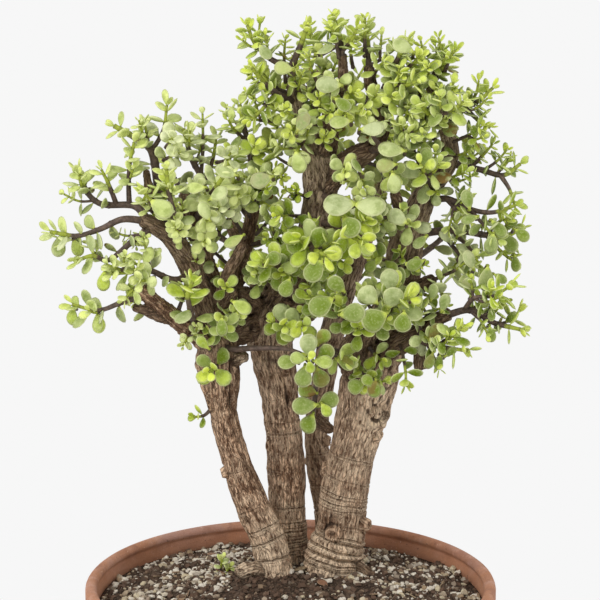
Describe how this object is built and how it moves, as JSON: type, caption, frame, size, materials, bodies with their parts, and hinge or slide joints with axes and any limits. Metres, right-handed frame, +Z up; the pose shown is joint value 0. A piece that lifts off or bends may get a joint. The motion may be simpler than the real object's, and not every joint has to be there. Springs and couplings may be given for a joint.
{
  "type": "elephant bush bonsai",
  "caption": "Multi-trunk succulent bonsai with small fleshy leaves on forking boughs, rooted in gritty soil in a round terracotta bowl with a rolled rim.",
  "frame": {"origin": "middle of the bowl's flat foot, on the surface it stands on", "axes": "+Z up along the trunks, the tree's front faces -Y, +X to its right seen from the front"},
  "size_m": [0.3799, 0.325, 0.5842],
  "materials": {
    "terracotta": "unglazed, dusty, weathered paler at the rim",
    "soil": "dark gritty potting mix with pale pumice granules",
    "bark": "ridged tan-brown bark with ring wrinkles and scars",
    "dark_bark": "dark purple-brown bark of the younger boughs",
    "leaf": "fleshy, softly waxy green leaf with a pale margin",
    "young_leaf": "yellow-green young leaf"
  },
  "bodies": {
    "root": {"bough_crown_mid": "dark_bark", "bough_crown_rear": "dark_bark", "bough_crown_right": "dark_bark", "bough_front": "dark_bark", "bough_left_back": "dark_bark", "bough_left_inner": "dark_bark", "bough_left_low": "dark_bark", "bough_rear_left": "dark_bark", "bough_right_low": "dark_bark", "pot": "terracotta", "root_left": "bark", "root_right": "bark", "seedling": "young_leaf", "shoot_centre_band": "leaf", "shoot_centre_pale": "leaf", "shoot_centre_yellow": "leaf", "shoot_cross": "leaf", "shoot_crown_left": "leaf", "shoot_crown_pale": "leaf", "shoot_crown_right": "leaf", "shoot_crown_side": "leaf", "shoot_crown_top": "leaf", "shoot_crown_top_right": "leaf", "shoot_front_right": "leaf", "shoot_hanging": "leaf", "shoot_inner_front": "leaf", "shoot_inner_top": "leaf", "shoot_left_base": "leaf", "shoot_left_front": "leaf", "shoot_left_low": "leaf", "shoot_left_mid": "leaf", "shoot_left_reach": "leaf", "shoot_left_rear": "leaf", "shoot_left_tip": "leaf", "shoot_left_top": "leaf", "shoot_left_trunk": "leaf", "shoot_left_up": "leaf", "shoot_mid_front": "leaf", "shoot_mid_high": "leaf", "shoot_rear_crown": "leaf", "shoot_rear_left_high": "leaf", "shoot_rear_left_low": "leaf", "shoot_rear_right": "leaf", "shoot_rear_right_low": "leaf", "shoot_right_centre": "leaf", "shoot_right_crest": "leaf", "shoot_right_high": "leaf", "shoot_right_inner": "leaf", "shoot_right_low": "leaf", "shoot_right_mid": "leaf", "shoot_right_mid_high": "leaf", "shoot_right_rear": "leaf", "shoot_right_shoulder": "leaf", "shoot_right_under": "leaf", "soil": "soil", "trunk_back": "bark", "trunk_left": "bark", "trunk_middle": "bark", "trunk_right": "bark"}
  },
  "joints": []
}
